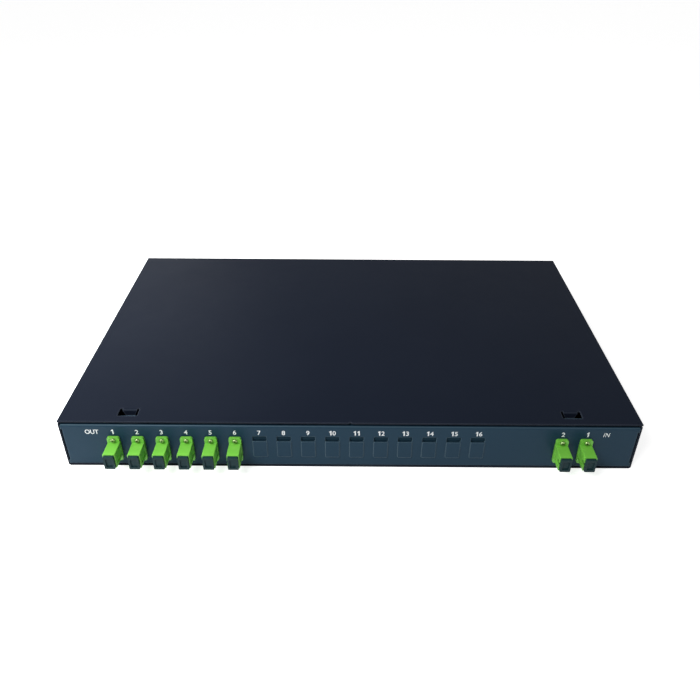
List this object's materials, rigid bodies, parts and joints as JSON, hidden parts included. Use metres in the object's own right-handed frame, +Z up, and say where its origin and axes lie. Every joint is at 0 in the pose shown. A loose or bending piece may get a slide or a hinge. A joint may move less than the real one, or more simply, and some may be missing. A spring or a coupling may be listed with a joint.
{
  "type": "plc fibre splitter",
  "caption": "Flat rack-width steel case with a row of green capped fibre adapters and blanked ports on its front, holding a planar splitter module.",
  "frame": {"origin": "centre of the underside of the case, without what sticks out of its front", "axes": "+X to the right along the front panel, -Y out of the front panel, +Z up through the cover"},
  "size_m": [0.44, 0.3001, 0.044],
  "materials": {
    "case_coat": "fine satin powder coat, near-black navy",
    "panel_coat": "fine satin powder coat, dark slate blue",
    "strip_coat": "fine satin powder coat, dark slate blue",
    "black_screw": "black zinc",
    "bright_screw": "yellow-passivated zinc on steel",
    "module_shell": "moulded, fine texture",
    "chip_metal": "drawn tube",
    "fibre_jacket": "smooth jacket",
    "adapter_green": "moulded, semi-gloss",
    "holder_white": "moulded",
    "cap_black": "soft matt moulding",
    "connector_green": "moulded, semi-gloss"
  },
  "bodies": {
    "case": {"base_tray": "case_coat", "top_cover": "case_coat", "front_panel": "panel_coat", "slot_strip": "strip_coat", "cover_screws": "black_screw", "adapter_screws": "bright_screw", "adapter_nuts": "bright_screw", "module_case": "module_shell", "module_lid": "module_shell", "module_screws": "bright_screw", "splitter_chip": "chip_metal", "out_pigtails": "fibre_jacket", "in_pigtails": "fibre_jacket", "adapter_out_1": "adapter_green", "sleeve_holder_out_1": "holder_white", "connector_out_1": "connector_green", "adapter_out_2": "adapter_green", "sleeve_holder_out_2": "holder_white", "connector_out_2": "connector_green", "adapter_out_3": "adapter_green", "sleeve_holder_out_3": "holder_white", "connector_out_3": "connector_green", "adapter_out_4": "adapter_green", "sleeve_holder_out_4": "holder_white", "connector_out_4": "connector_green", "adapter_out_5": "adapter_green", "sleeve_holder_out_5": "holder_white", "connector_out_5": "connector_green", "adapter_out_6": "adapter_green", "sleeve_holder_out_6": "holder_white", "connector_out_6": "connector_green", "adapter_in_1": "adapter_green", "sleeve_holder_in_1": "holder_white", "connector_in_1": "connector_green", "adapter_in_2": "adapter_green", "sleeve_holder_in_2": "holder_white", "connector_in_2": "connector_green"},
    "cap_out_1": {"dust_cap_out_1": "cap_black"},
    "cap_out_2": {"dust_cap_out_2": "cap_black"},
    "cap_out_3": {"dust_cap_out_3": "cap_black"},
    "cap_out_4": {"dust_cap_out_4": "cap_black"},
    "cap_out_5": {"dust_cap_out_5": "cap_black"},
    "cap_out_6": {"dust_cap_out_6": "cap_black"},
    "cap_in_1": {"dust_cap_in_1": "cap_black"},
    "cap_in_2": {"dust_cap_in_2": "cap_black"}
  },
  "joints": [
    {"name": "cap_out_1_pull", "type": "slide", "parent": "case", "child": "cap_out_1", "axis": [0, -1, 0], "range_m": [0, 0.02]},
    {"name": "cap_out_2_pull", "type": "slide", "parent": "case", "child": "cap_out_2", "axis": [0, -1, 0], "range_m": [0, 0.02]},
    {"name": "cap_out_3_pull", "type": "slide", "parent": "case", "child": "cap_out_3", "axis": [0, -1, 0], "range_m": [0, 0.02]},
    {"name": "cap_out_4_pull", "type": "slide", "parent": "case", "child": "cap_out_4", "axis": [0, -1, 0], "range_m": [0, 0.02]},
    {"name": "cap_out_5_pull", "type": "slide", "parent": "case", "child": "cap_out_5", "axis": [0, -1, 0], "range_m": [0, 0.02]},
    {"name": "cap_out_6_pull", "type": "slide", "parent": "case", "child": "cap_out_6", "axis": [0, -1, 0], "range_m": [0, 0.02]},
    {"name": "cap_in_1_pull", "type": "slide", "parent": "case", "child": "cap_in_1", "axis": [0, -1, 0], "range_m": [0, 0.02]},
    {"name": "cap_in_2_pull", "type": "slide", "parent": "case", "child": "cap_in_2", "axis": [0, -1, 0], "range_m": [0, 0.02]}
  ]
}
